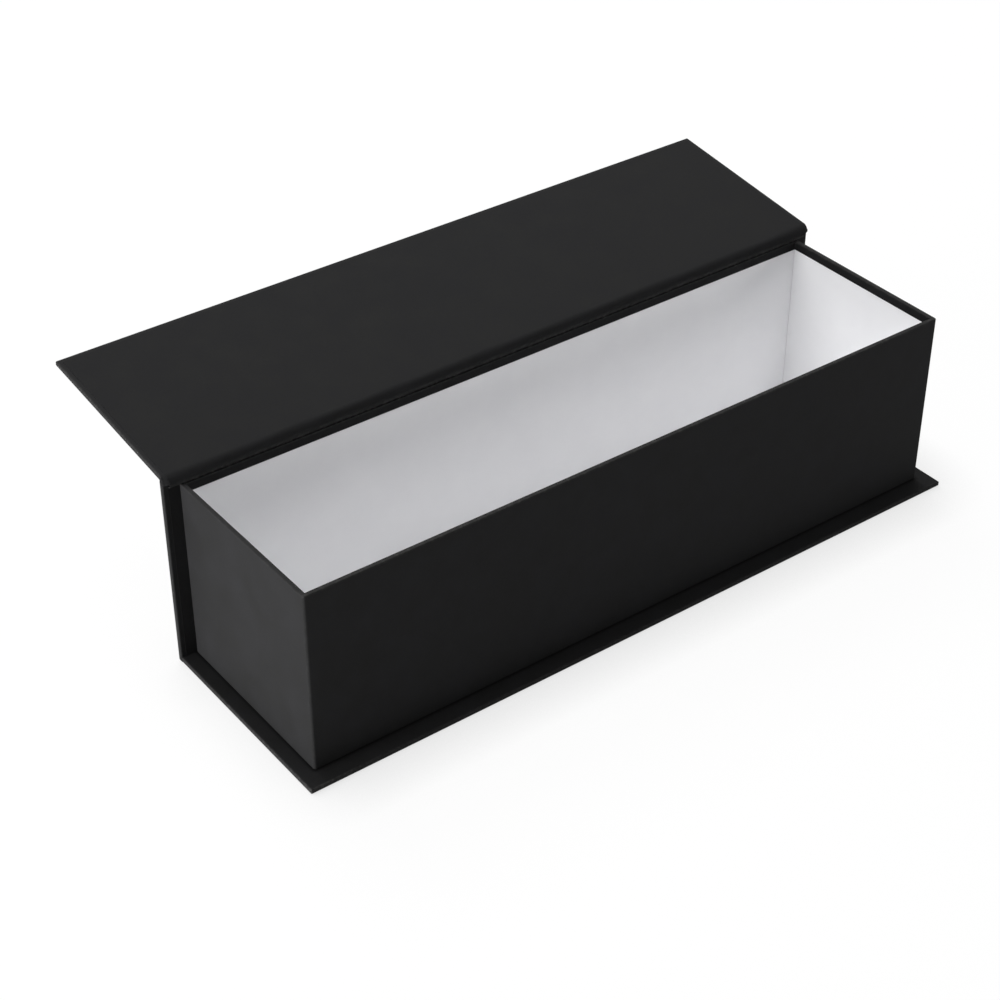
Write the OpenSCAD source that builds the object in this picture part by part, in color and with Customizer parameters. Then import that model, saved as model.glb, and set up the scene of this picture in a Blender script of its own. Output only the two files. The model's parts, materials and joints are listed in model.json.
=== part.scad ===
// Book-style gift box for one wine bottle: a deep greyboard tray, wrapped in paper and
// lined, glued on a three-board case whose lid swings on a paper hinge behind the tray.
// X runs along the box, -Y is the front, +Z is up, z = 0 is the underside of the base.

/* [Tray] */
// Outer length of the tray, end to end
tray_len = 365; // [220:1:480]
// Outer depth of the tray, front to back
tray_depth = 100; // [70:1:160]
// Height of the tray from the base to its rim
tray_height = 95; // [50:1:150]
// Thickness of the greyboard of the tray
wall_board = 2; // [1.5:0.1:4]
// Outer radius of the tray's upright corners
corner_r = 1.2; // [0.6:0.1:2]

/* [Case] */
// Thickness of the greyboard of the base, spine and lid
case_board = 2; // [1.5:0.1:3.5]
// How far the case stands out past each end of the tray
side_overhang = 7.8; // [2:0.1:15]
// How far the base stands out past the front of the tray
front_overhang = 9.5; // [2:0.1:20]
// How far the closed lid comes past the front of the tray
lid_front_margin = 0; // [0:0.1:8]

/* [Papers] */
// Thickness of the black covering paper
cover_paper = 0.2; // [0.1:0.05:0.4]
// Thickness of the white lining paper
lining_paper = 0.2; // [0.1:0.05:0.4]
// Thickness of the tape that stays the tray's corners
stay_paper = 0.15; // [0.1:0.05:0.3]
// Reach of the corner tape to each side of a corner
stay_reach = 12; // [6:1:25]
// Width of the covering paper turned over a board's edge
turn_in = 15; // [8:1:25]
// Depth of the wrap turned over the rim into the tray
rim_turn_in = 18; // [10:1:30]
// Width of the wrap turned under the tray
turn_under = 12; // [6:1:20]
// How far the white lining stops below the rim
lining_drop = 4.5; // [2:0.5:9]
// How far the case's inner sheet stops inside the edges of its lid and spine
liner_margin = 2.5; // [1:0.5:6]

/* [Lid hinge] */
// How far the open lid rises above the horizontal, in degrees
lid_open_angle = 7; // [3:1:20]
// Gap between the back of the tray and the lid's hinge edge
hinge_gap = 1.5; // [1:0.1:3]
// Gap between the rim and the closed lid
lid_clearance = 0.3; // [0.2:0.05:1]
// How far the spine board stands above the rim
spine_rise = 2; // [1.2:0.1:2.1]
// Bare paper between the crease and the lid's board, so that the closed lid clears the wall
crease_gap = 4; // [3:0.1:6]

/* [Hidden] */

$fn = 48;
arc_steps = 8;
liner_bend = 0.6;
overlap = 1;

black_paper = "#2a2a2b";
black_paper_inside = "#303031";
greyboard = "#8f8980";
white_paper = "#e9e9e6";
brown_tape = "#a98a63";

// Stack of one case panel: cover, board, turned-in cover, and a liner on two of them
base_stack = cover_paper + case_board + cover_paper;
lid_stack = base_stack + cover_paper;
case_len = tray_len + 2 * side_overhang;
base_front = -tray_depth / 2 - front_overhang;
tray_back = tray_depth / 2;
spine_back = tray_back + lid_stack;

// Insets from the tray's outer faces to the faces of its layers
board_in = cover_paper + wall_board;
turn_in_face = board_in + cover_paper;
lining_face = turn_in_face + lining_paper;

// Levels
tray_z = base_stack;
rim_z = tray_z + tray_height;
walls_z = tray_z + cover_paper;
walls_top = rim_z - cover_paper;
floor_top = walls_z + wall_board;
lining_top = rim_z - lining_drop;
spine_top = rim_z + spine_rise;

// The lid turns about the middle of its covering paper, along its hinge edge
axis_y = tray_back - hinge_gap;
axis_z = rim_z + lid_clearance + lid_stack - cover_paper / 2;
lid_inner = lid_stack - cover_paper / 2;
liner_len = case_len - 2 * liner_margin;
lid_reach = tray_depth - hinge_gap + lid_front_margin;

// The outer paper lies on the spine's top edge and turns back under the lid at the crease
fold_r = (axis_z - spine_top - cover_paper / 2) / 2;
fold_at = [axis_y + fold_r, axis_z - fold_r];

// Rounded outline of the tray, inset from its outer faces
module tray_outline(inset = 0) {
    r = max(corner_r - inset, 0.05);
    x = tray_len / 2 - inset;
    y = tray_depth / 2 - inset;
    square([2 * (x - r), 2 * y], center = true);
    square([2 * x, 2 * (y - r)], center = true);
    for (sx = [-1, 1], sy = [-1, 1])
        translate([sx * (x - r), sy * (y - r)]) circle(r);
}

// Upright ring between two insets of the tray's outline
module tray_ring(outer, inner, z0, z1) {
    translate([0, 0, z0]) linear_extrude(z1 - z0) difference() {
        tray_outline(outer);
        square([tray_len - 2 * inner, tray_depth - 2 * inner], center = true);
    }
}

// Outline of the corner tape, pressed into the faces of the boards
module stay_outline() {
    intersection() {
        difference() {
            tray_outline(cover_paper);
            tray_outline(cover_paper + stay_paper);
        }
        for (sx = [-1, 1], sy = [-1, 1])
            translate([sx * tray_len / 2, sy * tray_depth / 2])
                square(2 * (cover_paper + stay_reach), center = true);
    }
}

// The frame that the four wall boards are cut from
module wall_frame() {
    translate([0, 0, walls_z]) linear_extrude(walls_top - walls_z) difference() {
        tray_outline(cover_paper);
        square([tray_len - 2 * board_in, tray_depth - 2 * board_in], center = true);
        stay_outline();
    }
}

// A front or back wall: it runs the whole length and covers the end walls' edges
module long_wall(side) {
    intersection() {
        wall_frame();
        translate([0, side * (tray_depth / 2 - board_in / 2), rim_z / 2])
            cube([tray_len, board_in, rim_z], center = true);
    }
}

// An end wall, held between the front and back walls
module end_wall(side) {
    intersection() {
        wall_frame();
        translate([side * (tray_len / 2 - board_in / 2), 0, rim_z / 2])
            cube([board_in, tray_depth - 2 * board_in, rim_z], center = true);
    }
}

module tray_floor_board() {
    color(greyboard)
        translate([0, 0, walls_z + wall_board / 2])
            cube([tray_len - 2 * board_in, tray_depth - 2 * board_in, wall_board], center = true);
}

module tray_front_board() {
    color(greyboard) long_wall(-1);
}

module tray_back_board() {
    color(greyboard) long_wall(1);
}

module tray_left_board() {
    color(greyboard) end_wall(-1);
}

module tray_right_board() {
    color(greyboard) end_wall(1);
}

// Gummed tape round each upright corner, under the wrap
module corner_stays() {
    color(brown_tape)
        translate([0, 0, walls_z]) linear_extrude(walls_top - walls_z) stay_outline();
}

// Black paper round the walls, over the rim and down inside, and under the tray
module tray_wrap() {
    color(black_paper) {
        difference() {
            translate([0, 0, tray_z]) linear_extrude(tray_height) tray_outline();
            translate([0, 0, walls_z]) linear_extrude(walls_top - walls_z)
                tray_outline(cover_paper);
            translate([0, 0, rim_z / 2])
                cube([tray_len - 2 * (cover_paper + turn_under),
                      tray_depth - 2 * (cover_paper + turn_under), rim_z], center = true);
            translate([0, 0, rim_z])
                cube([tray_len - 2 * turn_in_face, tray_depth - 2 * turn_in_face,
                      tray_height], center = true);
        }
        tray_ring(board_in, turn_in_face, rim_z - rim_turn_in, walls_top);
    }
}

// Extrudes a section drawn in [y, z] along the box, to the given length
module extrude_along(length) {
    translate([-length / 2, 0, 0]) rotate([90, 0, 90]) linear_extrude(length) children();
}

// Half of the white sheet's section: up one wall, from the middle of the floor
module lining_half() {
    wall_y = tray_depth / 2 - turn_in_face;
    translate([0, floor_top]) square([wall_y, lining_paper]);
    translate([wall_y - lining_paper, floor_top])
        square([lining_paper, lining_top - floor_top]);
}

// White sheet up the front wall, across the floor and up the back wall, cut to length
// between the two sheets on the end walls
module lining_sheet() {
    color(white_paper)
        extrude_along(tray_len - 2 * lining_face) {
            lining_half();
            mirror([1, 0]) lining_half();
        }
}

// White sheet over a whole end wall, from the tray's floor up
module lining_end(side) {
    translate([side * (tray_len / 2 - turn_in_face - lining_paper / 2), 0,
               (floor_top + lining_top) / 2])
        cube([lining_paper, tray_depth - 2 * turn_in_face, lining_top - floor_top],
             center = true);
}

module lining_left_end() {
    color(white_paper) lining_end(-1);
}

module lining_right_end() {
    color(white_paper) lining_end(1);
}

// Board of the case, with the covering paper's thickness left free at both ends
module case_panel(y0, y1, z0, z1) {
    x = case_len / 2 - cover_paper;
    translate([-x, y0, z0]) cube([2 * x, y1 - y0, z1 - z0]);
}

// Sheet from one end of the case to the other
module case_sheet(y0, y1, z0, z1) {
    translate([-case_len / 2, y0, z0]) cube([case_len, y1 - y0, z1 - z0]);
}

// Covering paper of a flat panel that lies from v0 to v1, with its face at w = 0: the
// sheet, its turned edges at both ends and at v0, and the paper turned in over the board
module covered_panel(v0, v1) {
    inner = cover_paper + turn_in;
    difference() {
        case_sheet(v0, v1, 0, base_stack);
        case_panel(v0 + cover_paper, v1 + overlap, cover_paper, cover_paper + case_board);
        translate([-case_len / 2 + inner, v0 + inner, cover_paper])
            cube([case_len - 2 * inner, v1 - v0, base_stack]);
    }
}

module base_board() {
    color(greyboard)
        case_panel(base_front + cover_paper, tray_back, cover_paper, cover_paper + case_board);
}

// Black paper under the base, round its three free edges and turned in on its top
module base_cover() {
    color(black_paper) {
        covered_panel(base_front, tray_back);
        case_sheet(tray_back, spine_back, 0, cover_paper);
    }
}

module spine_board() {
    color(greyboard)
        case_panel(spine_back - cover_paper - case_board, spine_back - cover_paper,
                   cover_paper, spine_top);
}

// Black paper up the back of the spine, turned in round its two ends
module spine_cover() {
    inner = cover_paper + turn_in;
    color(black_paper) difference() {
        case_sheet(tray_back + cover_paper, spine_back, cover_paper, spine_top);
        case_panel(spine_back - cover_paper - case_board, spine_back - cover_paper,
                   cover_paper - overlap, spine_top + overlap);
        translate([-case_len / 2 + inner, tray_back, cover_paper - overlap])
            cube([case_len - 2 * inner, cover_paper + case_board, spine_top + 2 * overlap]);
    }
}

// Black paper between the spine and the tray, seen past the tray's ends
module spine_liner() {
    color(black_paper_inside)
        translate([-liner_len / 2, tray_back, cover_paper])
            cube([liner_len, cover_paper, rim_z - cover_paper]);
}

// Places what is built flat, with its face down, at the crease of the open lid
module at_crease() {
    translate([0, axis_y, axis_z]) rotate([lid_open_angle, 0, 0]) children();
}

// Lid board, from the crease to the free edge
module lid_board() {
    color(greyboard) at_crease() translate([0, 0, -cover_paper / 2])
        case_panel(crease_gap, lid_reach - cover_paper, cover_paper, cover_paper + case_board);
}

// Black paper on the outside of the lid, turned in round its three free edges
module lid_cover() {
    color(black_paper) at_crease() translate([0, lid_reach, -cover_paper / 2])
        mirror([0, 1, 0]) covered_panel(0, lid_reach - crease_gap);
}

// Black sheet on the inside of the lid
module lid_liner() {
    color(black_paper_inside) at_crease()
        translate([-liner_len / 2, crease_gap, lid_inner - cover_paper])
            cube([liner_len, lid_reach - liner_margin - crease_gap, cover_paper]);
}

// Point [y, z] at distance u along the open lid and w above it
function on_lid(u, w) = [
    axis_y + u * cos(lid_open_angle) - w * sin(lid_open_angle),
    axis_z + u * sin(lid_open_angle) + w * cos(lid_open_angle)
];

// Points on an arc about c, from angle a0 to a1
function arc(c, r, a0, a1) = [
    for (i = [0 : arc_steps])
        let (a = a0 + (a1 - a0) * i / arc_steps) [c[0] + r * cos(a), c[1] + r * sin(a)]
];

// Point at t on a curve with four control points
function bezier(p, t) = let (s = 1 - t)
    s * s * s * p[0] + 3 * s * s * t * p[1] + 3 * s * t * t * p[2] + t * t * t * p[3];

// Direction of a line of points at point i
function heading(line, i) = let (
    d = line[min(i + 1, len(line) - 1)] - line[max(i - 1, 0)]
) d / norm(d);

// One face of a sheet whose middle is a line of points, at distance side from it
function sheet_face(line, side) = [
    for (i = [0 : len(line) - 1])
        let (d = heading(line, i)) line[i] + side * [-d[1], d[0]]
];

// Outer paper of the hinge: over the spine's top edge and back on itself at the crease
module hinge_cover() {
    half = cover_paper / 2;
    lid_end_in = on_lid(crease_gap, half);
    lid_end_out = on_lid(crease_gap, -half);
    color(black_paper) extrude_along(case_len)
        polygon(concat(
            [[spine_back, spine_top], [spine_back, spine_top + cover_paper]],
            arc(fold_at, fold_r - half, 270, 90),
            [lid_end_out, lid_end_in],
            arc(fold_at, fold_r + half, 90, 270),
            [[tray_back + cover_paper, spine_top]]
        ));
}

// Inner paper of the hinge: it leaves the spine at the rim, passes round the crease and
// runs straight up to the lid's board
module hinge_liner() {
    half = cover_paper / 2;
    round_r = fold_r + 3 * half;
    foot = [tray_back + half, rim_z + 2 * cover_paper];
    front = fold_at - [round_r, 0];
    rise = (front[1] - foot[1]) / 2;
    lid_way = [cos(lid_open_angle), sin(lid_open_angle)];
    edge = on_lid(crease_gap - liner_bend, lid_inner - half);
    reach = edge - fold_at;
    leave = atan2(reach[1], reach[0]) + acos(round_r / norm(reach));
    span = edge - fold_at - round_r * [cos(leave), sin(leave)];
    near_edge = edge - liner_bend * span / norm(span);
    lid_end = edge + liner_bend * lid_way;
    line = concat(
        [for (i = [0 : arc_steps - 1])
            bezier([foot, foot + [0, rise], front - [0, rise], front], i / arc_steps)],
        arc(fold_at, round_r, 180, leave),
        [for (i = [0 : arc_steps])
            bezier([near_edge, edge, edge, lid_end], i / arc_steps)]
    );
    color(black_paper_inside) extrude_along(liner_len)
        polygon(concat(
            [[tray_back, rim_z]],
            sheet_face(line, half),
            [for (i = [len(line) - 1 : -1 : 0]) sheet_face(line, -half)[i]],
            [[tray_back + cover_paper, rim_z]]
        ));
}

tray_floor_board();
tray_front_board();
tray_back_board();
tray_left_board();
tray_right_board();
corner_stays();
tray_wrap();
lining_sheet();
lining_left_end();
lining_right_end();
base_board();
base_cover();
spine_board();
spine_cover();
spine_liner();
hinge_cover();
hinge_liner();
lid_board();
lid_cover();
lid_liner();
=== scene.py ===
import json
import math

import bmesh
import bpy
from mathutils import Matrix, Vector


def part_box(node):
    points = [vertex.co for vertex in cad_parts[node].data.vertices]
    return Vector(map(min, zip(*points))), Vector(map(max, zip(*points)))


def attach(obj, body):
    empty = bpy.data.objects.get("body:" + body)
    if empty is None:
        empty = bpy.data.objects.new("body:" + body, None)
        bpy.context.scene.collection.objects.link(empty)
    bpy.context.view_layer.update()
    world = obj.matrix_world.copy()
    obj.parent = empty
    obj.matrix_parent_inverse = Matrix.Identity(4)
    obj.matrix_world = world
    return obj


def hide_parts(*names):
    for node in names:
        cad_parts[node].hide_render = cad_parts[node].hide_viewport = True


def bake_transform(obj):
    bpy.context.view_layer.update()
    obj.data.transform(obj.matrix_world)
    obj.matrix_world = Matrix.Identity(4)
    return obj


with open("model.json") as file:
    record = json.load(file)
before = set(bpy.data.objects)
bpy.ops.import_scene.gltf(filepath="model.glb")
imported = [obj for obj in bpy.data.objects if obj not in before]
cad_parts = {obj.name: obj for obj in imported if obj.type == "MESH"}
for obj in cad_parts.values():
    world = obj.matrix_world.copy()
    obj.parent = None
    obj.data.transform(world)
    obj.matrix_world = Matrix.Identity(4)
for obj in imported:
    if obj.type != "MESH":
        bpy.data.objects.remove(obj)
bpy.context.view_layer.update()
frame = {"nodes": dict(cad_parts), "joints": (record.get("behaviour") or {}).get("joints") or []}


# ---------------------------------------------------------------- Camera
# Looks down on the open box from beyond its front left corner, with a long lens that
# keeps the upright edges nearly parallel.
camera_data = bpy.data.cameras.new("camera")
camera_data.sensor_width = 36.0
camera_data.lens = 77.68
camera = bpy.data.objects.new("camera", camera_data)
bpy.context.scene.collection.objects.link(camera)
azimuth, elevation, distance = math.radians(-36.774), math.radians(35.753), 1.01268
aim = Vector((-0.03678, 0.0118, 0.0475))
toward_camera = Vector((
    math.sin(azimuth) * math.cos(elevation),
    -math.cos(azimuth) * math.cos(elevation),
    math.sin(elevation),
))
camera.location = aim + distance * toward_camera
camera.rotation_mode = "QUATERNION"
camera.rotation_quaternion = (-toward_camera).to_track_quat("-Z", "Y")
camera_data.clip_start = 0.05
camera_data.clip_end = 30.0
bpy.context.scene.camera = camera


# ---------------------------------------------------------------- Boards
# Eight boards of recycled greyboard, pressed from waste paper and die-cut square. They
# are the stiff core of tray, base, spine and lid, glued edge to edge under the papers.
def linear(code):
    """Linear RGBA of an sRGB hex colour."""
    parts = [int(code[i:i + 2], 16) / 255 for i in (1, 3, 5)]
    return [c / 12.92 if c <= 0.04045 else ((c + 0.055) / 1.055) ** 2.4 for c in parts] + [1.0]


def add_node(tree, kind, settings, inputs):
    """Adds a node: settings are its options, inputs its values or the sockets that feed them."""
    node = tree.nodes.new(kind)
    for name, value in settings.items():
        setattr(node, name, value)
    for name, value in inputs.items():
        if isinstance(value, bpy.types.NodeSocket):
            tree.links.new(value, node.inputs[name])
        else:
            node.inputs[name].default_value = value
    return node


def new_material(name):
    """An empty material with its tree, its object coordinates and its output."""
    material = bpy.data.materials.new(name)
    material.use_nodes = True
    tree = material.node_tree
    tree.nodes.clear()
    place = add_node(tree, "ShaderNodeTexCoord", {}, {}).outputs["Object"]
    output = add_node(tree, "ShaderNodeOutputMaterial", {}, {})
    return material, tree, place, output


def dress(node_name, material):
    """Gives a CAD node its material."""
    mesh = frame["nodes"][node_name].data
    mesh.materials.clear()
    mesh.materials.append(material)


# Recycled greyboard: pressed waste paper with no coating, so it is dull and rough, with
# darker and lighter fibre clumps 1.1 mm across.
greyboard, tree, place, output = new_material("pressed_recycled_greyboard")
clumps = add_node(tree, "ShaderNodeTexNoise", {}, {
    "Vector": place, "Scale": 900.0, "Detail": 4.0, "Roughness": 0.6})
tone = add_node(tree, "ShaderNodeValToRGB", {}, {"Fac": clumps.outputs["Fac"]})
tone.color_ramp.elements[0].position = 0.34
tone.color_ramp.elements[0].color = linear("#7b766e")
tone.color_ramp.elements[1].position = 0.66
tone.color_ramp.elements[1].color = linear("#9a948a")
press = add_node(tree, "ShaderNodeBump", {}, {
    "Height": clumps.outputs["Fac"], "Strength": 0.4, "Distance": 0.0001})
surface = add_node(tree, "ShaderNodeBsdfPrincipled", {}, {
    "Base Color": tone.outputs["Color"], "Normal": press.outputs["Normal"],
    "Roughness": 0.93, "Specular IOR Level": 0.25})
tree.links.new(surface.outputs["BSDF"], output.inputs["Surface"])

for name in ("tray_floor_board", "tray_front_board", "tray_back_board", "tray_left_board",
             "tray_right_board", "base_board", "spine_board", "lid_board"):
    dress(name, greyboard)


# ---------------------------------------------------------------- Corner tape
# Brown gummed tape round the four upright corners of the tray, wetted and rubbed down
# under the wrap. It holds the wall boards together.

# Kraft paper: long unbleached fibres laid lengthwise, which show as streaks 11 mm long
# and 1.1 mm wide.
kraft_tape, tree, place, output = new_material("gummed_kraft_tape")
streaks = add_node(tree, "ShaderNodeMapping", {}, {"Vector": place, "Scale": (900.0, 900.0, 90.0)})
fibres = add_node(tree, "ShaderNodeTexNoise", {}, {
    "Vector": streaks.outputs["Vector"], "Scale": 1.0, "Detail": 3.0})
tone = add_node(tree, "ShaderNodeValToRGB", {}, {"Fac": fibres.outputs["Fac"]})
tone.color_ramp.elements[0].position = 0.3
tone.color_ramp.elements[0].color = linear("#97794f")
tone.color_ramp.elements[1].position = 0.7
tone.color_ramp.elements[1].color = linear("#b8996f")
surface = add_node(tree, "ShaderNodeBsdfPrincipled", {}, {
    "Base Color": tone.outputs["Color"], "Roughness": 0.7})
tree.links.new(surface.outputs["BSDF"], output.inputs["Surface"])
dress("corner_stays", kraft_tape)


# ---------------------------------------------------------------- Tray wrap
# One sheet of matt black paper glued round the tray's walls, turned under its foot and
# folded over the rim into the tray. It creases at the rim and is mitred at the corners.
# Lengths are in millimetres.
paper = 0.2
board = 2.0
fold_r = 0.55
foot_r = 0.65
corner_r = 1.2
turn_under = 12.0
rim_turn_in = 18.0
past_fold = 0.5
past_corner = 0.6
fold_steps = 6
corner_steps = 8
no_limit = 1e4

tray_low, tray_high = (1000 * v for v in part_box("tray_wrap"))


def quarter(cx, cy, radius, start):
    """Points of a quarter turn about a centre, from a start angle in degrees."""
    return [
        (cx + radius * math.cos(math.radians(start + 90 * i / fold_steps)),
         cy + radius * math.sin(math.radians(start + 90 * i / fold_steps)))
        for i in range(fold_steps + 1)
    ]


def paper_tree():
    """Geometry Nodes tree that lays a paper's section along a path.

    The object holds the section, a closed loop of edges with x across the path and y
    down, and the attribute inset on its points. The path is another object's edges.
    A point's inset moves it in from the limits, which gives square mitred corners.
    """
    weld_distance = 0.000004
    tree = bpy.data.node_groups.new("paper_along_a_path", "GeometryNodeTree")
    sockets = [
        ("Section", "INPUT", "NodeSocketGeometry"),
        ("Path", "INPUT", "NodeSocketObject"),
        ("Corner Radius", "INPUT", "NodeSocketFloat"),
        ("Corner Steps", "INPUT", "NodeSocketInt"),
        ("Low", "INPUT", "NodeSocketVector"),
        ("High", "INPUT", "NodeSocketVector"),
        ("Paper", "INPUT", "NodeSocketMaterial"),
        ("Sheet", "OUTPUT", "NodeSocketGeometry"),
    ]
    for name, way, kind in sockets:
        tree.interface.new_socket(name=name, in_out=way, socket_type=kind)
    given = add_node(tree, "NodeGroupInput", {}, {}).outputs
    path = add_node(tree, "GeometryNodeObjectInfo", {}, {"Object": given["Path"]})
    line = add_node(tree, "GeometryNodeMeshToCurve", {}, {"Mesh": path.outputs["Geometry"]})
    rounded = add_node(tree, "GeometryNodeFilletCurve", {"mode": "POLY"}, {
        "Curve": line.outputs["Curve"], "Radius": given["Corner Radius"],
        "Count": given["Corner Steps"], "Limit Radius": True})
    section = add_node(tree, "GeometryNodeMeshToCurve", {}, {"Mesh": given["Section"]})
    swept = add_node(tree, "GeometryNodeCurveToMesh", {}, {
        "Curve": rounded.outputs["Curve"], "Profile Curve": section.outputs["Curve"],
        "Fill Caps": True})
    inset = add_node(tree, "GeometryNodeInputNamedAttribute", {"data_type": "FLOAT"}, {
        "Name": "inset"}).outputs["Attribute"]
    low = add_node(tree, "ShaderNodeVectorMath", {"operation": "ADD"}, {
        0: given["Low"], 1: inset})
    high = add_node(tree, "ShaderNodeVectorMath", {"operation": "SUBTRACT"}, {
        0: given["High"], 1: inset})
    here = add_node(tree, "GeometryNodeInputPosition", {}, {})
    above = add_node(tree, "ShaderNodeVectorMath", {"operation": "MAXIMUM"}, {
        0: here.outputs["Position"], 1: low.outputs["Vector"]})
    within = add_node(tree, "ShaderNodeVectorMath", {"operation": "MINIMUM"}, {
        0: above.outputs["Vector"], 1: high.outputs["Vector"]})
    height = add_node(tree, "ShaderNodeSeparateXYZ", {}, {"Vector": here.outputs["Position"]})
    plan = add_node(tree, "ShaderNodeSeparateXYZ", {}, {"Vector": within.outputs["Vector"]})
    target = add_node(tree, "ShaderNodeCombineXYZ", {}, {
        "X": plan.outputs["X"], "Y": plan.outputs["Y"], "Z": height.outputs["Z"]})
    mitred = add_node(tree, "GeometryNodeSetPosition", {}, {
        "Geometry": swept.outputs["Mesh"], "Position": target.outputs["Vector"]})
    welded = add_node(tree, "GeometryNodeMergeByDistance", {}, {
        "Geometry": mitred.outputs["Geometry"], "Distance": weld_distance})
    real = add_node(tree, "GeometryNodeRealizeInstances", {}, {
        "Geometry": welded.outputs["Geometry"]})
    dressed = add_node(tree, "GeometryNodeSetMaterial", {}, {
        "Geometry": real.outputs["Geometry"], "Material": given["Paper"]})
    add_node(tree, "NodeGroupOutput", {}, {"Sheet": dressed.outputs["Geometry"]})
    return tree


paper_nodes = paper_tree()


def guide(name, points, closed):
    """A line of edges through points in millimetres, with its own object."""
    mesh = bpy.data.meshes.new(name)
    edges = [(i, i + 1) for i in range(len(points) - 1)]
    if closed:
        edges.append((len(points) - 1, 0))
    mesh.from_pydata([Vector(p) / 1000 for p in points], edges, [])
    thing = bpy.data.objects.new(name, mesh)
    bpy.context.scene.collection.objects.link(thing)
    return thing


def turn_outward(mesh):
    """Turns a closed mesh's faces outward."""
    shape = bmesh.new()
    shape.from_mesh(mesh)
    if shape.calc_volume(signed=True) < 0:
        bmesh.ops.reverse_faces(shape, faces=shape.faces)
    shape.to_mesh(mesh)
    shape.free()


def lay_paper(name, section, path, closed, material, radius=0.0, steps=1,
              low=(-no_limit, -no_limit), high=(no_limit, no_limit), mitre_from=None):
    """Plain mesh of a paper's section, in millimetres across and up, laid along a path."""
    if mitre_from is None:
        across = [(x, -z, 0.0) for x, z in section]
        insets = [-1.0] * len(section)
    else:
        across = [(-min(n, mitre_from), -z, 0.0) for n, z in section]
        insets = [n / 1000 for n, z in section]
    thing = guide(name, across, True)
    thing.data.attributes.new("inset", "FLOAT", "POINT").data.foreach_set("value", insets)
    line = guide(name + "_path", path, closed)
    modifier = thing.modifiers.new("lay", "NODES")
    modifier.node_group = paper_nodes
    values = {
        "Path": line,
        "Corner Radius": radius / 1000,
        "Corner Steps": steps,
        "Low": [low[0] / 1000, low[1] / 1000, -no_limit / 1000],
        "High": [high[0] / 1000, high[1] / 1000, no_limit / 1000],
        "Paper": material,
    }
    for item in paper_nodes.interface.items_tree:
        if item.name in values:
            modifier[item.identifier] = values[item.name]
    shape = thing.evaluated_get(bpy.context.evaluated_depsgraph_get())
    mesh = bpy.data.meshes.new_from_object(shape)
    mesh.name = name
    thing.modifiers.remove(modifier)
    thing.data = mesh
    bpy.data.objects.remove(line)
    turn_outward(mesh)
    return thing


def finish_paper(thing):
    """Smooth shading that stays sharp at cut edges."""
    sharp_angle = 32.0
    for face in thing.data.polygons:
        face.use_smooth = True
    thing.data.set_sharp_from_angle(angle=math.radians(sharp_angle))


# Black uncoated cover paper, dyed through and calendered matt. It shows soft clouds 14 mm
# across and fibres, drawn 1.1 mm across so that they show. Where the sheet is creased the
# dye rubs off in patches of 2.4 mm, and the same lighter tone paints highlights on some
# folds. A second mark mixes in near-black: painted shade beside joints, and a plain
# darkening elsewhere.
def black_paper(name, dark, light, worn_and_highlight):
    """Matt black paper, between a darker and a lighter tone, lighter where it is worn and where
    highlights are painted, darker where shade is painted and where it is plainly darkened.
    """
    material, tree, place, output = new_material(name)
    clouds = add_node(tree, "ShaderNodeTexNoise", {}, {
        "Vector": place, "Scale": 70.0, "Detail": 4.0, "Roughness": 0.55})
    fibres = add_node(tree, "ShaderNodeTexNoise", {}, {
        "Vector": place, "Scale": 900.0, "Detail": 5.0, "Roughness": 0.65})
    both = add_node(tree, "ShaderNodeMath", {"operation": "MULTIPLY_ADD"}, {
        0: fibres.outputs["Fac"], 1: 0.45, 2: clouds.outputs["Fac"]})
    tone = add_node(tree, "ShaderNodeMapRange", {}, {
        "Value": both.outputs["Value"], "From Min": 0.5, "From Max": 0.95})
    body = add_node(tree, "ShaderNodeMix", {"data_type": "RGBA"}, {
        0: tone.outputs["Result"], 6: linear(dark), 7: linear(light)})
    # Lighter where this mark is set: real wear at creases and corners, and painted highlights on the
    # tray's rims and the hinge sheet's roll.
    fold = add_node(tree, "ShaderNodeAttribute", {"attribute_name": "wear_and_highlight"}, {})
    patch_noise = add_node(tree, "ShaderNodeTexNoise", {}, {
        "Vector": place, "Scale": 420.0, "Detail": 3.0, "Roughness": 0.7})
    patches = add_node(tree, "ShaderNodeMapRange", {}, {
        "Value": patch_noise.outputs["Fac"], "From Min": 0.45, "From Max": 0.7,
        "To Min": 0.25, "To Max": 1.0})
    rub_and_highlight_share = add_node(tree, "ShaderNodeMath", {"operation": "MULTIPLY", "use_clamp": True}, {
        0: fold.outputs["Fac"], 1: patches.outputs["Result"]})
    scuffed_and_highlighted = add_node(tree, "ShaderNodeMix", {"data_type": "RGBA"}, {
        0: rub_and_highlight_share.outputs["Value"], 6: body.outputs[2], 7: linear(worn_and_highlight)})
    # Darker where this mark is set: painted shade along the tray's foot and on the base beside it,
    # and a plain darkening of some turned-in and cut paper.
    shade_and_darkening = add_node(tree, "ShaderNodeAttribute", {"attribute_name": "shade_and_darkening"}, {})
    colour = add_node(tree, "ShaderNodeMix", {"data_type": "RGBA"}, {
        0: shade_and_darkening.outputs["Fac"], 6: scuffed_and_highlighted.outputs[2], 7: linear("#080808")})
    rough = add_node(tree, "ShaderNodeMapRange", {}, {
        "Value": clouds.outputs["Fac"], "From Min": 0.3, "From Max": 0.7,
        "To Min": 0.72, "To Max": 0.84})
    grain = add_node(tree, "ShaderNodeBump", {}, {
        "Height": fibres.outputs["Fac"], "Strength": 0.35, "Distance": 0.00006})
    surface = add_node(tree, "ShaderNodeBsdfPrincipled", {}, {
        "Base Color": colour.outputs[2], "Roughness": rough.outputs["Result"],
        "Normal": grain.outputs["Normal"], "Specular IOR Level": 0.05})
    tree.links.new(surface.outputs["BSDF"], output.inputs["Surface"])
    return material


wrap_paper = black_paper("matt_black_cover_paper", "#1e1e1e", "#242425", "#5a5957")


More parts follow.
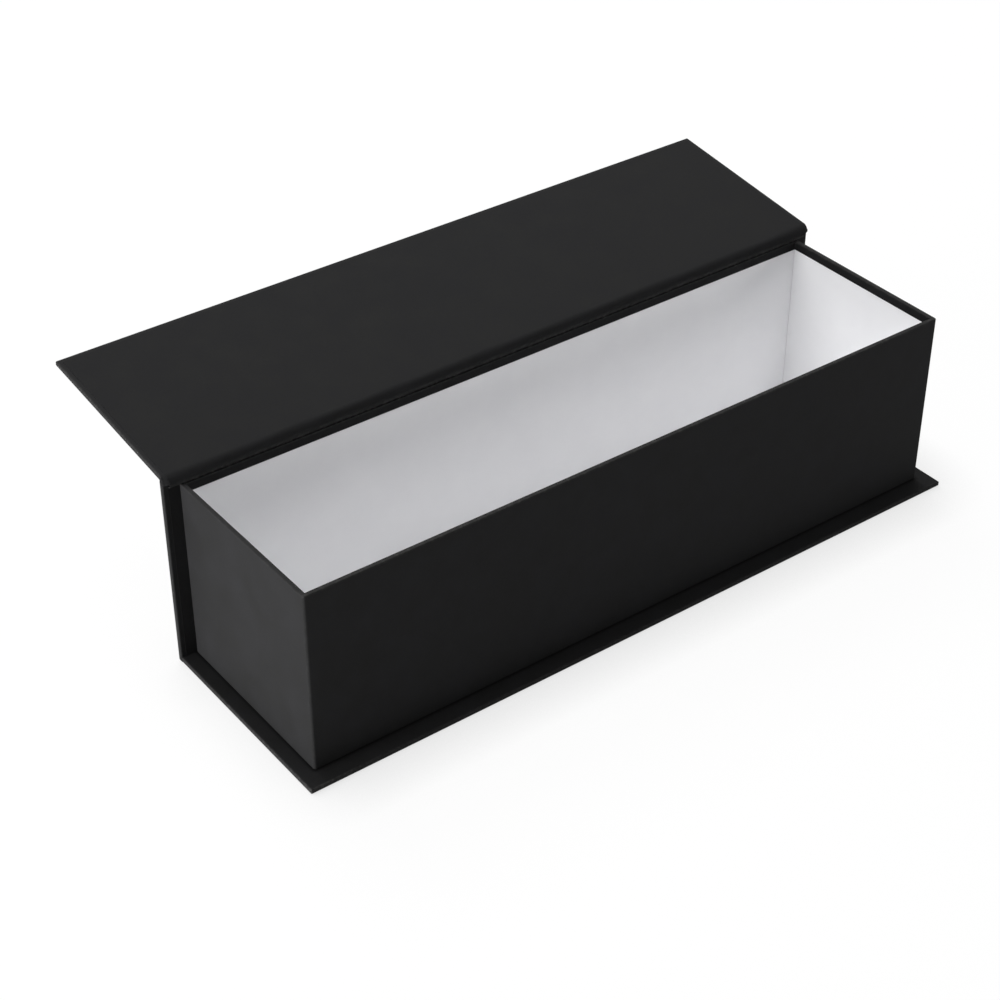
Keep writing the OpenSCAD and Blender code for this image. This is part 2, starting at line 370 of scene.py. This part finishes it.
def ring(thing, planes):
    """Cuts rings of edges into a mesh, one for each plane: (axis, place in millimetres)."""
    on_plane = 1e-7
    shape = bmesh.new()
    shape.from_mesh(thing.data)
    for axis, place in planes:
        normal = [0.0, 0.0, 0.0]
        normal[axis] = 1.0
        point = [0.0, 0.0, 0.0]
        point[axis] = place / 1000
        everything = shape.verts[:] + shape.edges[:] + shape.faces[:]
        bmesh.ops.bisect_plane(shape, geom=everything, dist=on_plane, plane_co=point,
                               plane_no=normal)
    shape.to_mesh(thing.data)
    shape.free()


def mark(thing, name, amount):
    """Stores a value from 0 to 1 at each point, from a function of x, y, z in millimetres."""
    values = [min(1.0, max(0.0, amount(*(1000 * v.co)))) for v in thing.data.vertices]
    thing.data.attributes.new(name, "FLOAT", "POINT").data.foreach_set("value", values)


def near(distance, reach):
    """1 on an edge, falling to 0 at its reach."""
    return max(0.0, 1.0 - abs(distance) / reach)


foot_z = tray_low.z
rim_z = tray_high.z
inner_n = 2 * paper + board
beside = fold_r + past_fold
upright = corner_r + past_corner
wrap_section = (
    [(paper + turn_under, foot_z), (beside, foot_z)]
    + quarter(foot_r, foot_z + foot_r, foot_r, 180)[::-1]
    + [(0, foot_z + beside), (0, rim_z - beside)]
    + quarter(fold_r, rim_z - fold_r, fold_r, 90)[::-1]
    + quarter(inner_n - fold_r, rim_z - fold_r, fold_r, 0)[::-1]
    + [(inner_n, rim_z - beside), (inner_n, rim_z - rim_turn_in),
       (inner_n - paper, rim_z - rim_turn_in), (inner_n - paper, rim_z - paper),
       (paper, rim_z - paper), (paper, foot_z + paper), (paper + turn_under, foot_z + paper)]
)
tray_plan = [(tray_low.x, tray_low.y, 0), (tray_high.x, tray_low.y, 0),
             (tray_high.x, tray_high.y, 0), (tray_low.x, tray_high.y, 0)]
wrap = lay_paper("paper_wrap", wrap_section, tray_plan, True, wrap_paper, corner_r, corner_steps,
                 tray_low, tray_high, corner_r)
ring(wrap, [(0, tray_low.x + upright), (0, tray_high.x - upright),
            (1, tray_low.y + upright), (1, tray_high.y - upright)])

# How far the dye is rubbed off, with painted highlight added along the rims, and how much the paper
# is darkened, from 0 to 1: painted shade along the foot, a plain darkening on the turned-in strip.
back_rim_rub_and_highlight = 1.0
front_rim_rub_and_highlight = 0.3
end_rim_rub_and_highlight = 0.12
inner_rim_rub_and_highlight = 0.4
upright_rub = 0.1
foot_shade = 0.8
turned_in_darkening = 0.3


# Painted highlight: the rims are lightened, most at the back, partly as rubbed paper and partly as
# painted highlight; the corners as rubbed paper.
def wrap_wear_and_highlight(x, y, z):
    side = tray_high.x - abs(x)
    end = tray_high.y - abs(y)
    outside = min(side, end) < inner_n - paper
    corner = near(side, upright) * near(end, upright) if outside else 0.0
    rim = near(z - rim_z, beside)
    if end < side:
        rub_and_highlight = back_rim_rub_and_highlight if y > 0 else front_rim_rub_and_highlight
    else:
        rub_and_highlight = end_rim_rub_and_highlight
    rim_rub_and_highlight = rub_and_highlight + corner if outside else max(rub_and_highlight, inner_rim_rub_and_highlight)
    return max(upright_rub * corner, rim_rub_and_highlight * rim)


# Painted shade: a near-black band along the tray's foot, where the base meets the wall; the
# turned-in strip inside the tray is darkened evenly.
def wrap_shade_and_darkening(x, y, z):
    side = tray_high.x - abs(x)
    end = tray_high.y - abs(y)
    folded_in = min(side, end) > inner_n - 2 * paper and z < rim_z - paper
    return turned_in_darkening if folded_in else foot_shade * near(z - foot_z, beside)


mark(wrap, "wear_and_highlight", wrap_wear_and_highlight)
mark(wrap, "shade_and_darkening", wrap_shade_and_darkening)
finish_paper(wrap)
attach(wrap, "box")
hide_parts("tray_wrap")


# ---------------------------------------------------------------- Tray lining
# Three sheets of white uncoated paper glued into the tray: a long one up the back, over
# the floor and down the front, and one on each end, all cut a little below the rim.
tuck_r = 0.6
cut_gap = 0.15

# Wood-free offset paper: no gloss, a hair bluish, even white with the faintest clouds,
# 17 mm across, and a tooth drawn 0.7 mm across so that it shows.
white_paper, tree, place, output = new_material("white_uncoated_offset_paper")
clouds = add_node(tree, "ShaderNodeTexNoise", {}, {
    "Vector": place, "Scale": 60.0, "Detail": 4.0, "Roughness": 0.55})
body = add_node(tree, "ShaderNodeMix", {"data_type": "RGBA"}, {
    0: clouds.outputs["Fac"], 6: linear("#eeeef0"), 7: linear("#f4f4f5")})
tooth = add_node(tree, "ShaderNodeTexNoise", {}, {
    "Vector": place, "Scale": 1400.0, "Detail": 3.0})
grain = add_node(tree, "ShaderNodeBump", {}, {
    "Height": tooth.outputs["Fac"], "Strength": 0.15, "Distance": 0.00004})
surface = add_node(tree, "ShaderNodeBsdfPrincipled", {}, {
    "Base Color": body.outputs[2], "Roughness": 0.85, "Normal": grain.outputs["Normal"],
    "Specular IOR Level": 0.25})
tree.links.new(surface.outputs["BSDF"], output.inputs["Surface"])

sheet_low, sheet_high = (1000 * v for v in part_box("lining_sheet"))
back_y = sheet_high.y
floor_z = sheet_low.z
lining_z = sheet_high.z
half_section = (
    [(0, floor_z), (back_y, floor_z), (back_y, lining_z), (back_y - paper, lining_z)]
    + quarter(back_y - paper - tuck_r, floor_z + paper + tuck_r, tuck_r, 270)[::-1]
    + [(0, floor_z + paper)]
)
sheet_section = half_section + [(-y, z) for y, z in half_section[-2:0:-1]]
sheet_path = [(sheet_high.x - cut_gap, 0, 0), (sheet_low.x + cut_gap, 0, 0)]
long_sheet = lay_paper("lining_long_sheet", sheet_section, sheet_path, False, white_paper)
finish_paper(long_sheet)
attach(long_sheet, "box")
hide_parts("lining_sheet")

for side, node in ((-1, "lining_left_end"), (1, "lining_right_end")):
    low, high = (1000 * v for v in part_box(node))
    end_section = [(low.x, low.z), (high.x, low.z), (high.x, high.z), (low.x, high.z)]
    end_path = [(0, low.y, 0), (0, high.y, 0)]
    end_sheet = lay_paper(node + "_sheet", end_section, end_path, False, white_paper)
    finish_paper(end_sheet)
    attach(end_sheet, "box")
    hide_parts(node)


# ---------------------------------------------------------------- Base cover
# Part of the case's one big sheet of black paper. It lies under the base board, folds up
# round its front and both ends, and is turned in on top, where its corners are mitred.
turn_in = 15.0
edge_steps = 5
# Width of the painted shade on the base beside the tray's foot.
foot_shade_width = 1.6
scuffed_length = 40.0
edge_rub = 0.3
scuff_rub = 0.5

base_low, base_high = (1000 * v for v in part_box("base_cover"))
board_back = tray_high.y


def folded_edge(z0, z1):
    """Section of paper folded round a board's edge, between its two faces."""
    end = paper + turn_in
    return (
        [(end, z0), (beside, z0)]
        + quarter(fold_r, z0 + fold_r, fold_r, 180)[::-1]
        + quarter(fold_r, z1 - fold_r, fold_r, 90)[::-1]
        + [(beside, z1), (end, z1), (end, z1 - paper), (paper, z1 - paper),
           (paper, z0 + paper), (end, z0 + paper)]
    )


def flat_sheet(name, outline, z0, z1, material):
    """A flat sheet cut to an outline, in millimetres."""
    mesh = bpy.data.meshes.new(name)
    count = len(outline)
    points = [(x / 1000, y / 1000, z / 1000) for z in (z0, z1) for x, y in outline]
    faces = [tuple(range(count - 1, -1, -1)), tuple(range(count, 2 * count))]
    faces += [(i, (i + 1) % count, count + (i + 1) % count, count + i) for i in range(count)]
    mesh.from_pydata(points, [], faces)
    turn_outward(mesh)
    mesh.materials.append(material)
    thing = bpy.data.objects.new(name, mesh)
    bpy.context.scene.collection.objects.link(thing)
    return thing


def join(thing, other):
    """Adds another object's mesh to this one."""
    with bpy.context.temp_override(active_object=thing, selected_editable_objects=[thing, other]):
        bpy.ops.object.join()
    return thing


base_path = [(base_low.x, board_back, 0), (base_low.x, base_low.y, 0),
             (base_high.x, base_low.y, 0), (base_high.x, board_back, 0)]
base_edge = lay_paper("base_paper", folded_edge(0.0, base_high.z), base_path, False, wrap_paper,
                      fold_r, edge_steps, base_low, (base_high.x, no_limit), fold_r)
inside = paper + turn_in
base_sheet = flat_sheet("base_under", [
    (base_low.x + inside, base_low.y + inside), (base_high.x - inside, base_low.y + inside),
    (base_high.x - inside, board_back), (base_high.x, board_back),
    (base_high.x, base_high.y - fold_r), (base_low.x, base_high.y - fold_r),
    (base_low.x, board_back), (base_low.x + inside, board_back)], 0.0, paper, wrap_paper)
base_paper = join(base_edge, base_sheet)
ring(base_paper, [(0, base_low.x + beside), (0, base_high.x - beside), (1, base_low.y + beside),
                  (0, tray_low.x), (0, tray_high.x), (1, tray_low.y),
                  (0, tray_low.x - foot_shade_width), (0, tray_high.x + foot_shade_width), (1, tray_low.y - foot_shade_width),
                  (0, base_low.x + scuffed_length / 4), (0, base_low.x + scuffed_length)])


def base_wear(x, y, z):
    edge = min(base_high.x - abs(x), y - base_low.y)
    fold = max(near(z, beside), near(z - base_high.z, beside))
    in_front = y < base_low.y + beside
    scuff = scuff_rub * near(x - base_low.x, scuffed_length) if in_front else 0.0
    return near(edge, beside) * fold * (edge_rub + scuff)


# Painted shade: the base's top is darkened in a band beside the tray's foot, where the walls shade
# it.
def base_foot_shade(x, y, z):
    beyond = max(abs(x) - tray_high.x, tray_low.y - y)
    return foot_shade * near(max(beyond, 0.0), foot_shade_width) if z > base_high.z - paper else 0.0


mark(base_paper, "wear_and_highlight", base_wear)
mark(base_paper, "shade_and_darkening", base_foot_shade)
finish_paper(base_paper)
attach(base_paper, "box")
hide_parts("base_cover")


# ---------------------------------------------------------------- Spine
# The case's black paper goes on up the back of the spine board and is turned in round its
# ends. On the tray's side a second black sheet hides the board and glues the tray to it.
spine_rub = 0.4
end_rub_reach = 0.8
cut_edge = 0.3
cut_edge_glue = 0.6

spine_high = 1000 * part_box("spine_cover")[1]
spine_back = spine_high.y
spine_top = spine_high.z
half_len = base_high.x

spine_section = (
    [(spine_back - fold_r, 0.0)]
    + quarter(spine_back - fold_r, fold_r, fold_r, 270)[1:]
    + [(spine_back, beside), (spine_back, spine_top), (spine_back - paper, spine_top),
       (spine_back - paper, paper), (spine_back - fold_r, paper)]
)
spine_paper = lay_paper("spine_paper", spine_section, [(half_len, 0, 0), (-half_len, 0, 0)],
                        False, wrap_paper)


def end_fold(side):
    """Paper turned in round one end of the spine board, on the tray's side."""
    plan = [(half_len - paper, spine_back - paper), (half_len, spine_back - paper)]
    plan += quarter(half_len - fold_r, board_back + paper + fold_r, fold_r, 270)[::-1]
    plan += [(half_len - inside, board_back + paper), (half_len - inside, board_back + 2 * paper),
             (half_len - paper, board_back + 2 * paper)]
    plan = [(side * x, y) for x, y in plan]
    return flat_sheet("spine_end", plan, paper, spine_top, wrap_paper)


for side in (-1, 1):
    join(spine_paper, end_fold(side))


def spine_wear(x, y, z):
    end = near(half_len - abs(x), beside) * near(y - spine_back, end_rub_reach)
    return spine_rub * max(end, near(z, beside) * near(y - spine_back, beside))


ring(spine_paper, [(0, half_len - beside), (0, beside - half_len)])
mark(spine_paper, "wear_and_highlight", spine_wear)
finish_paper(spine_paper)
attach(spine_paper, "box")
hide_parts("spine_cover")

# The inner sheet is the same kind of paper in a shade darker, and its dye rubs off less.
inner_paper = black_paper("matt_black_lining_paper", "#1b1b1b", "#202021", "#4a4a49")
liner_low, liner_high = (1000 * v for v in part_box("spine_liner"))
liner_path = [(liner_high.x, 0, 0), (liner_low.x, 0, 0)]
liner_section = [(liner_low.y, liner_low.z), (liner_high.y, liner_low.z),
                 (liner_high.y, liner_high.z), (liner_low.y, liner_high.z)]
spine_inner = lay_paper("spine_inner_paper", liner_section, liner_path, False, inner_paper)
ring(spine_inner, [(0, side * (liner_high.x - cut_edge)) for side in (-1, 1)])


def cut_glue(x, y, z):
    return cut_edge_glue if abs(x) > liner_high.x - cut_edge / 2 else 0.0


mark(spine_inner, "shade_and_darkening", cut_glue)
finish_paper(spine_inner)
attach(spine_inner, "box")
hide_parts("spine_liner")


# ---------------------------------------------------------------- Hinge
# Both black sheets run on across the bare gap before the lid's board. The outer one lies
# over the spine and back under the lid. The inner one rolls over the tray's back rim and
# goes on up to the lid, with the slight waves that its glue leaves.
lid_angle = math.radians(7.0)
crease_gap = 4.0
liner_bend = 2.2
back_r = 0.45
turn_r = 0.25
arc_steps = 8
half = paper / 2
lid_stack = 2 * paper + board + paper
lid_inner = lid_stack - half

joint = frame["joints"][0]
axis_y, axis_z = 1000 * joint["pos_m"][1], 1000 * joint["pos_m"][2]


def on_lid(u, w):
    """Point y, z at distance u along the open lid and w above its covering paper."""
    return Vector((axis_y + u * math.cos(lid_angle) - w * math.sin(lid_angle),
                   axis_z + u * math.sin(lid_angle) + w * math.cos(lid_angle)))


def bend(a, b, c, d):
    """Points on a curve with four control points."""
    points = []
    for i in range(arc_steps + 1):
        t = i / arc_steps
        points.append((1 - t) ** 3 * a + 3 * (1 - t) ** 2 * t * b
                      + 3 * (1 - t) * t * t * c + t ** 3 * d)
    return points


def face_of(middle, side):
    """Points beside a middle line, at a distance to the left of its way."""
    points = []
    for i, point in enumerate(middle):
        way = (middle[min(i + 1, len(middle) - 1)] - middle[max(i - 1, 0)]).normalized()
        points.append(Vector((point.x - side * way.y, point.y + side * way.x)))
    return points


def both_faces(middle):
    """Closed section of a sheet of paper round its middle line."""
    return face_of(middle, half) + face_of(middle, -half)[::-1]


def round_fold(angle):
    """Point on the inner sheet where it turns about the outer sheet's fold."""
    return fold_at + round_r * Vector((math.cos(angle), math.sin(angle)))


# The inner sheet's middle line: from the rim up to the fold, round it, and on to the lid.
fold_at = Vector((axis_y, axis_z)) + Vector((1, -1)) * (axis_z - spine_top - half) / 2
round_r = fold_at.x - axis_y + 3 * half
foot = Vector((board_back + half, rim_z))
front = fold_at - Vector((round_r, 0))
edge = on_lid(crease_gap - liner_bend, lid_inner - half)
lid_end = on_lid(crease_gap, lid_inner - half)
reach = edge - fold_at
leave = math.atan2(reach.y, reach.x) + math.acos(round_r / reach.length)
off_fold = round_fold(leave)
way = (edge - off_fold).normalized()
onto_lid = edge - liner_bend * way

roll_height = 0.7
foot_pull = Vector((0, 0.15))
roll_pull = Vector((0, 0.4))
step_pull = 0.6
over_rim = Vector((front.x, rim_z + roll_height))
below = bend(foot, foot + foot_pull, over_rim - roll_pull, over_rim)[1:] + [front]
above = [round_fold(math.pi + (leave - math.pi) * i / arc_steps) for i in range(1, arc_steps + 1)]
above += [off_fold.lerp(onto_lid, 1 / 3), off_fold.lerp(onto_lid, 2 / 3)]
above += bend(onto_lid, onto_lid.lerp(edge, step_pull), lid_end.lerp(edge, step_pull), lid_end)
hinge_inner = lay_paper("hinge_inner_paper", both_faces([foot] + below + above), liner_path,
                        False, inner_paper)

wave_height = 0.6
wave_step = 6.0
waves = [(0.22, 8.1, 0.7), (0.16, 4.3, 2.1), (0.12, 19.0, 0.0)]
flat_end = 14.0
roll_rub_and_highlight = 0.5
roll_highlight_reach = 0.8


def cockle(thing):
    """Lifts the sheet in the slight waves that damp paper dries with, flat at its ends."""
    cuts = round((liner_high.x - liner_low.x) / wave_step)
    ring(thing, [(0, liner_low.x + wave_step * i) for i in range(1, cuts)])
    for vertex in thing.data.vertices:
        x, y, z = 1000 * vertex.co
        along = (Vector((y, z)) - fold_at).dot(way) / (lid_end - fold_at).length
        ripple = 0.5 + sum(share * math.sin(x / length + start) for share, length, start in waves)
        lift = wave_height * ripple * math.sin(math.pi * min(1.0, max(0.0, along)))
        lift *= min(1.0, (liner_high.x - abs(x)) / flat_end)
        vertex.co += Vector((0.0, -way.y, way.x)) * lift / 1000


# Painted highlight: a lighter line along the inner sheet's roll over the back rim, partly rubbed
# paper and partly painted highlight.
def roll_wear_and_highlight(x, y, z):
    return roll_rub_and_highlight * near(z - rim_z - roll_height, roll_highlight_reach)


cockle(hinge_inner)
mark(hinge_inner, "wear_and_highlight", roll_wear_and_highlight)
finish_paper(hinge_inner)
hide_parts("hinge_liner")


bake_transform(hinge_inner)

# The outer sheet's middle line: up the spine's back, over its top, and round under the lid.
back = Vector((spine_back - half, spine_top))
lay = -2 * turn_r
corner_u = (back.x - axis_y + lay * math.sin(lid_angle)) / math.cos(lid_angle)
corner = on_lid(corner_u, lay)
over_spine = [back] + bend(corner - Vector((0, back_r)), corner, corner,
                           on_lid(corner_u - back_r, lay))
half_turn = (quarter(turn_r, -turn_r, turn_r, 180)[::-1]
             + quarter(turn_r, -turn_r, turn_r, 90)[-2::-1])
turn = [on_lid(u, w) for u, w in half_turn]
hinge_outer = lay_paper("hinge_outer_paper", both_faces(over_spine + turn + [on_lid(crease_gap, 0)]),
                        [(half_len, 0, 0), (-half_len, 0, 0)], False, wrap_paper)

# At each end the outer sheet is turned in behind the inner one. The turned strip follows
# its own line, and a web of paper, in two halves that part at the crease, closes the end.
rise = (front - foot) * Vector((0, 0.5))
behind = bend(foot, foot + rise, front - rise, front)[1:]
strip = face_of([foot] + behind + above, -paper)
neck = len(behind) + 1
box_cheek = strip[:neck] + [on_lid(0.0, lay / 2), on_lid(turn_r, lay)] + over_spine[:0:-1] + [
    Vector((spine_back - half, spine_top)), Vector((board_back + 2 * paper, spine_top)),
    Vector((board_back + 2 * paper, rim_z))]
lid_cheek = strip[neck - 1:] + [on_lid(crease_gap, 0.0), on_lid(turn_r, 0.0),
                                on_lid(0.0, lay / 2)]


def round_end(thing):
    """Rounds the turned strip's upright edge, as the folds of the spine and lid are."""
    cut_angles = (0, 30, 50, 70)
    levels = [half_len - fold_r * (1 - math.sin(math.radians(a))) for a in cut_angles]
    ring(thing, [(0, place) for x in levels for place in (-x, x)])
    for vertex in thing.data.vertices:
        x, y, z = 1000 * vertex.co
        place = Vector((y, z))
        near_way = None
        for a, b in zip(strip, strip[1:]):
            t = min(1.0, max(0.0, (place - a).dot(b - a) / (b - a).length_squared))
            if (place - a.lerp(b, t)).length < paper:
                near_way = (b - a).normalized()
        over = abs(x) - (half_len - fold_r)
        if near_way is not None and over > 0:
            drop = fold_r - math.sqrt(max(0.0, fold_r ** 2 - over ** 2))
            vertex.co += Vector((0.0, near_way.y, -near_way.x)) * drop / 1000
    return thing


for side in (-1, 1):
    ends = sorted((side * (half_len - half), side * (half_len - inside)), reverse=True)
    flap = lay_paper("hinge_turn_in", both_faces(strip), [(x, 0, 0) for x in ends], False,
                     wrap_paper)
    join(hinge_outer, round_end(flap))
    for outline in (box_cheek, lid_cheek):
        cheek = flat_sheet("hinge_cheek", outline, half_len - paper, half_len, wrap_paper)
        cheek.data.transform(Matrix(((0, 0, side, 0), (1, 0, 0, 0), (0, 1, 0, 0), (0, 0, 0, 1))))
        turn_outward(cheek.data)
        join(hinge_outer, round_end(cheek))

# The ends are pinched flat toward the spine's back as the paper is rubbed down.
pinch_length = 4.0
pinch_share = 0.28
end_darkening = 0.5
end_darkening_reach = 0.9
off_back = 1.0
ring(hinge_outer, [(0, side * (half_len - cut)) for side in (-1, 1)
                   for cut in (pinch_length, 3.0, 2.0, 1.0)])
for vertex in hinge_outer.data.vertices:
    t = max(0.0, 1 - (half_len - 1000 * abs(vertex.co.x)) / pinch_length)
    vertex.co.y += pinch_share * t * t * (spine_back / 1000 - vertex.co.y)


# Near each end, off the spine's back, the paper is darkened by half.
def hinge_darkening(x, y, z):
    at_end = abs(x) > half_len - end_darkening_reach
    return end_darkening if at_end and y < back.x - off_back else 0.0


mark(hinge_outer, "shade_and_darkening", hinge_darkening)
finish_paper(hinge_outer)
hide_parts("hinge_cover")
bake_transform(hinge_outer)


# ---------------------------------------------------------------- Lid
# A flat board in the case's black paper, which is folded round its free edges and turned
# in. The second sheet covers the turned edges on the face that meets the tray.
lid_reach = axis_y - tray_low.y
lid_place = Matrix.Translation((0.0, axis_y / 1000, axis_z / 1000)) @ Matrix.Rotation(
    lid_angle, 4, "X")

lid_path = [(half_len, crease_gap, 0), (half_len, lid_reach, 0),
            (-half_len, lid_reach, 0), (-half_len, crease_gap, 0)]
lid_edge = lay_paper("lid_paper", folded_edge(-half, lid_stack - paper - half), lid_path, False,
                     wrap_paper, fold_r, edge_steps, (-half_len, -no_limit),
                     (half_len, lid_reach), fold_r)
lid_out = flat_sheet("lid_out", [
    (inside - half_len, crease_gap), (half_len - inside, crease_gap),
    (half_len - inside, lid_reach - inside), (inside - half_len, lid_reach - inside)],
    -half, half, wrap_paper)
lid_paper = join(lid_edge, lid_out)
ring(lid_paper, [(0, beside - half_len), (0, half_len - beside), (1, lid_reach - beside)])


def lid_wear(x, y, z):
    edge = min(half_len - abs(x), lid_reach - y)
    fold = max(near(z + half, beside), near(z - lid_stack + paper + half, beside))
    return near(edge, beside) * fold * edge_rub


mark(lid_paper, "wear_and_highlight", lid_wear)
finish_paper(lid_paper)
lid_paper.data.transform(lid_place)
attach(lid_paper, "lid")
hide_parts("lid_cover")

liner_margin = half_len - liner_high.x
lid_sheet = flat_sheet("lid_inner_paper", [
    (liner_low.x, crease_gap), (liner_high.x, crease_gap),
    (liner_high.x, lid_reach - liner_margin), (liner_low.x, lid_reach - liner_margin)],
    lid_inner - paper, lid_inner, inner_paper)
finish_paper(lid_sheet)
lid_sheet.data.transform(lid_place)
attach(lid_sheet, "lid")
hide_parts("lid_liner")


# ---------------------------------------------------------------- Floor and light
# A pale seamless table, shown nearly white, which keeps the box's shadow and carries a painted
# shade close beside it. Two soft lamps stand beyond the left end, one farther off in front,
# and three above and behind, under a faint even sky. Lengths here are in metres.
table_half = 8.0
table_z = -0.0002
shade_reach = 0.037
glow_in_shade = 0.635
glow_gained = 0.31


def seen_straight(tree):
    """1 on the rays that show the white background: camera, glossy and transmission rays."""
    rays = add_node(tree, "ShaderNodeLightPath", {}, {})
    seen = add_node(tree, "ShaderNodeMath", {"operation": "MAXIMUM"}, {
        0: rays.outputs["Is Camera Ray"], 1: rays.outputs["Is Glossy Ray"]})
    seen = add_node(tree, "ShaderNodeMath", {"operation": "MAXIMUM"}, {
        0: seen.outputs["Value"], 1: rays.outputs["Is Transmission Ray"]})
    return seen.outputs["Value"]


# Matt pale laminate: it has no gloss and no pattern. The lamps' shadow of the box stays on it,
# and close beside the box a painted shade, ambient occlusion on its glow, leans away from the lamps
# on the left and back.
table_finish, tree, place, output = new_material("pale_seamless_table")
matt = add_node(tree, "ShaderNodeBsdfDiffuse", {}, {"Color": linear("#f2f2f2")})
soft = add_node(tree, "ShaderNodeBsdfDiffuse", {}, {"Color": linear("#3f3f3f")})
lean = add_node(tree, "ShaderNodeCombineXYZ", {}, {"X": -0.35, "Y": 0.55, "Z": 0.758})
# Painted shade: ambient occlusion within the shade's reach dims the glow beside the box.
close = add_node(tree, "ShaderNodeAmbientOcclusion", {"samples": 4}, {
    "Distance": shade_reach, "Normal": lean.outputs["Vector"]})
shade = add_node(tree, "ShaderNodeMath", {"operation": "MULTIPLY_ADD"}, {
    0: close.outputs["AO"], 1: glow_gained, 2: glow_in_shade})
glow = add_node(tree, "ShaderNodeEmission", {}, {
    "Color": linear("#ffffff"), "Strength": shade.outputs["Value"]})
both = add_node(tree, "ShaderNodeAddShader", {}, {
    0: soft.outputs["BSDF"], 1: glow.outputs["Emission"]})
shown = add_node(tree, "ShaderNodeMixShader", {}, {
    0: seen_straight(tree), 1: matt.outputs["BSDF"], 2: both.outputs["Shader"]})
tree.links.new(shown.outputs["Shader"], output.inputs["Surface"])
table_mesh = bpy.data.meshes.new("table")
table_mesh.from_pydata([(-table_half, -table_half, table_z), (table_half, -table_half, table_z),
                        (table_half, table_half, table_z), (-table_half, table_half, table_z)],
                       [], [(0, 1, 2, 3)])
table_mesh.materials.append(table_finish)
table = bpy.data.objects.new("table", table_mesh)
bpy.context.scene.collection.objects.link(table)

world = bpy.data.worlds.new("studio")
bpy.context.scene.world = world
world.use_nodes = True
tree = world.node_tree
tree.nodes.clear()
sky = add_node(tree, "ShaderNodeBackground", {}, {"Color": linear("#ffffff"), "Strength": 0.005})
white = add_node(tree, "ShaderNodeBackground", {}, {"Color": linear("#ffffff"), "Strength": 1.0})
mixed = add_node(tree, "ShaderNodeMixShader", {}, {
    0: seen_straight(tree), 1: sky.outputs["Background"], 2: white.outputs["Background"]})
add_node(tree, "ShaderNodeOutputWorld", {}, {"Surface": mixed.outputs["Shader"]})


def soft_lamp(name, place, aim_at, size, power):
    """A square area lamp that faces a point."""
    lamp = bpy.data.lights.new(name, "AREA")
    lamp.shape = "SQUARE"
    lamp.size = size
    lamp.energy = power
    thing = bpy.data.objects.new(name, lamp)
    bpy.context.scene.collection.objects.link(thing)
    thing.visible_camera = False
    thing.location = place
    thing.rotation_mode = "QUATERNION"
    thing.rotation_quaternion = (Vector(aim_at) - Vector(place)).to_track_quat("-Z", "Y")


soft_lamp("left_softbox", (-1.3, 0.15, 0.45), (-0.1, 0.0, 0.06), 0.4, 8.5)
soft_lamp("low_left_softbox", (-1.3, -0.03, 0.055), (-0.19, 0.0, 0.05), 0.1, 16.3)
soft_lamp("low_front_softbox", (1.2, -1.9, 0.28), (0.0, 0.0, 0.05), 0.5, 9.4)
soft_lamp("overhead_softbox", (0.0, 0.3, 2.4), (0.0, 0.0, 0.05), 1.6, 31.4)
soft_lamp("back_softbox", (0.1, 1.6, 2.0), (0.0, 0.05, 0.05), 1.0, 35.8)
soft_lamp("back_right_softbox", (1.0, 1.5, 1.3), (0.0, 0.05, 0.05), 1.0, 9.0)

bpy.context.scene.view_settings.view_transform = "Standard"
